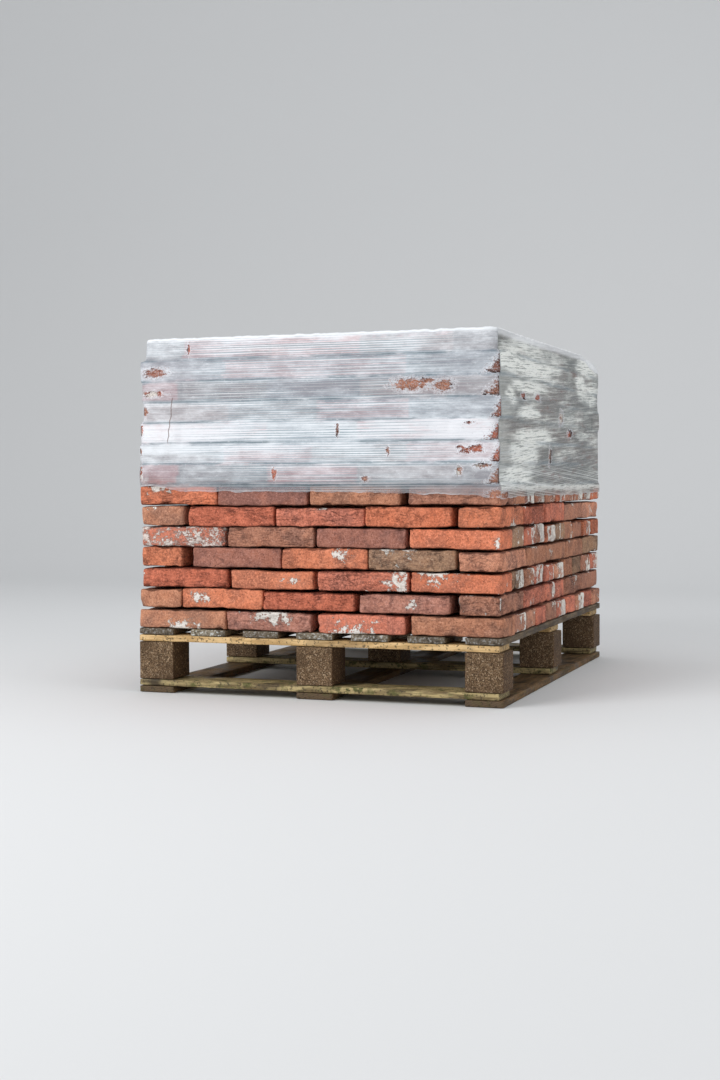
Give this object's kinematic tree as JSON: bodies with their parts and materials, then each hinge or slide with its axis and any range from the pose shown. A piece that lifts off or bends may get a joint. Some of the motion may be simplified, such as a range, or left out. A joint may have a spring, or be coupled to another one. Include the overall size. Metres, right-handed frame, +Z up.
{
  "type": "pallet of bricks",
  "caption": "Wooden block pallet loaded with dry-stacked solid red bricks in crossed courses, the upper half wound in stretch film.",
  "frame": {"origin": "on the floor, under the middle of the pallet", "axes": "+X to the right along the front, +Y into the depth, +Z up"},
  "size_m": [1, 1.2, 0.9339],
  "materials": {
    "brick": "rough hand-moulded fired clay, red to orange, with old lime mortar",
    "brick_core": "rough fired clay",
    "deck_board": "rough sawn softwood, weathered grey-green",
    "stringer": "rough sawn softwood, damp, light yellow",
    "base_wood": "rough sawn softwood, wet and mossy",
    "chip_block": "pressed wood chip, damp",
    "stretch_film": "milky clear stretch film in several turns, dusty and damp"
  },
  "bodies": {
    "root": {"base_board_back": "base_wood", "base_board_front": "base_wood", "base_board_middle": "base_wood", "block_back_left": "chip_block", "block_back_middle": "chip_block", "block_back_right": "chip_block", "block_front_left": "chip_block", "block_front_middle": "chip_block", "block_front_right": "chip_block", "block_middle_left": "chip_block", "block_middle_middle": "chip_block", "block_middle_right": "chip_block", "brick_core": "brick_core", "brick_course_01": "brick", "brick_course_02": "brick", "brick_course_03": "brick", "brick_course_04": "brick", "brick_course_05": "brick", "brick_course_06": "brick", "brick_course_07": "brick", "brick_course_08": "brick", "brick_course_09": "brick", "brick_course_10": "brick", "brick_course_11": "brick", "brick_course_12": "brick", "brick_course_13": "brick", "brick_course_14": "brick", "deck_board_1": "deck_board", "deck_board_2": "deck_board", "deck_board_3": "deck_board", "deck_board_4": "deck_board", "deck_board_5": "deck_board", "deck_board_6": "deck_board", "deck_board_7": "deck_board", "runner_left": "base_wood", "runner_middle": "base_wood", "runner_right": "base_wood", "stretch_film": "stretch_film", "stringer_back": "stringer", "stringer_front": "stringer", "stringer_middle": "stringer"}
  },
  "joints": []
}
